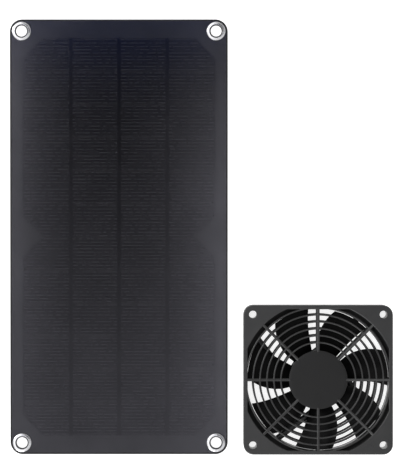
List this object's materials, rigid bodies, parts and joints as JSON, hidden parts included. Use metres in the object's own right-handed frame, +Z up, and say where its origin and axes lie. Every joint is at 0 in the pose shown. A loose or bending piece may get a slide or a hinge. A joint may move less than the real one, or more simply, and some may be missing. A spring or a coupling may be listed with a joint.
{
  "type": "solar attic fan",
  "caption": "Solar ventilator kit: a black laminated solar panel with corner eyelets and a square axial fan behind concentric ring guards.",
  "frame": {"origin": "middle of the footprint, on the surface that the kit lies on", "axes": "+Z up, out of the panel's and the fan's front faces; +Y along the panel, towards the end with the junction box; +X from the panel towards the fan"},
  "size_m": [0.3086, 0.3518, 0.0311],
  "materials": {
    "board": "satin black solder-mask over epoxy-glass board",
    "film": "clear laminate film with a fine textured gloss",
    "cell": "blue-black coated silicon with fine printed fingers",
    "ribbon": "black coated flat ribbon",
    "eyelet_metal": "bright nickel plate",
    "box_plastic": "fine spark-textured black moulding",
    "rubber": "matt black elastomer",
    "fan_plastic": "satin black glass-filled moulding",
    "impeller_plastic": "satin black moulding",
    "circuit": "green solder-mask",
    "steel": "zinc-plated or laminated steel",
    "brass": "turned or sintered",
    "copper": "enamelled copper winding",
    "magnet": "rubber-bonded ferrite"
  },
  "bodies": {
    "panel": {"backing_board": "board", "cover_film": "film", "cell_strip_01": "cell", "cell_strip_02": "cell", "cell_strip_03": "cell", "cell_strip_04": "cell", "cell_strip_05": "cell", "cell_strip_06": "cell", "cell_strip_07": "cell", "cell_strip_08": "cell", "cell_strip_09": "cell", "cell_strip_10": "cell", "cell_strip_11": "cell", "cell_strip_12": "cell", "bus_ribbon_1": "ribbon", "bus_ribbon_2": "ribbon", "bus_ribbon_3": "ribbon", "end_ribbon_top": "ribbon", "end_ribbon_bottom": "ribbon", "eyelet_1": "eyelet_metal", "eyelet_2": "eyelet_metal", "eyelet_3": "eyelet_metal", "eyelet_4": "eyelet_metal", "eyelet_washer_1": "eyelet_metal", "eyelet_washer_2": "eyelet_metal", "eyelet_washer_3": "eyelet_metal", "eyelet_washer_4": "eyelet_metal", "box_adhesive_pad": "rubber", "junction_box_base": "box_plastic", "junction_box_gasket": "rubber", "junction_box_lid": "box_plastic", "box_lid_screw_1": "steel", "box_lid_screw_2": "steel", "terminal_board": "circuit", "blocking_diode": "box_plastic", "gland_body": "box_plastic", "gland_nut": "box_plastic", "gland_seal": "rubber"},
    "fan_unit": {"fan_housing": "fan_plastic", "front_guard": "fan_plastic", "rear_guard": "fan_plastic", "bearing_tube": "brass", "bearing_sleeve": "brass", "stator_core": "steel", "coil_1": "copper", "coil_2": "copper", "coil_3": "copper", "coil_4": "copper", "driver_board": "circuit", "lead_grommet": "rubber"},
    "rotor": {"impeller": "impeller_plastic", "rotor_cup": "steel", "magnet_ring": "magnet", "shaft": "steel", "retaining_clip": "steel"}
  },
  "joints": [
    {"name": "fan_slide", "type": "slide", "parent": "panel", "child": "fan_unit", "axis": [1, 0, 0], "range_m": [0, 0.15]},
    {"name": "rotor_spin", "type": "hinge", "parent": "fan_unit", "child": "rotor", "pos_m": [0.0943, -0.11466, 0.0155], "axis": [0, 0, 1], "continuous": true}
  ]
}
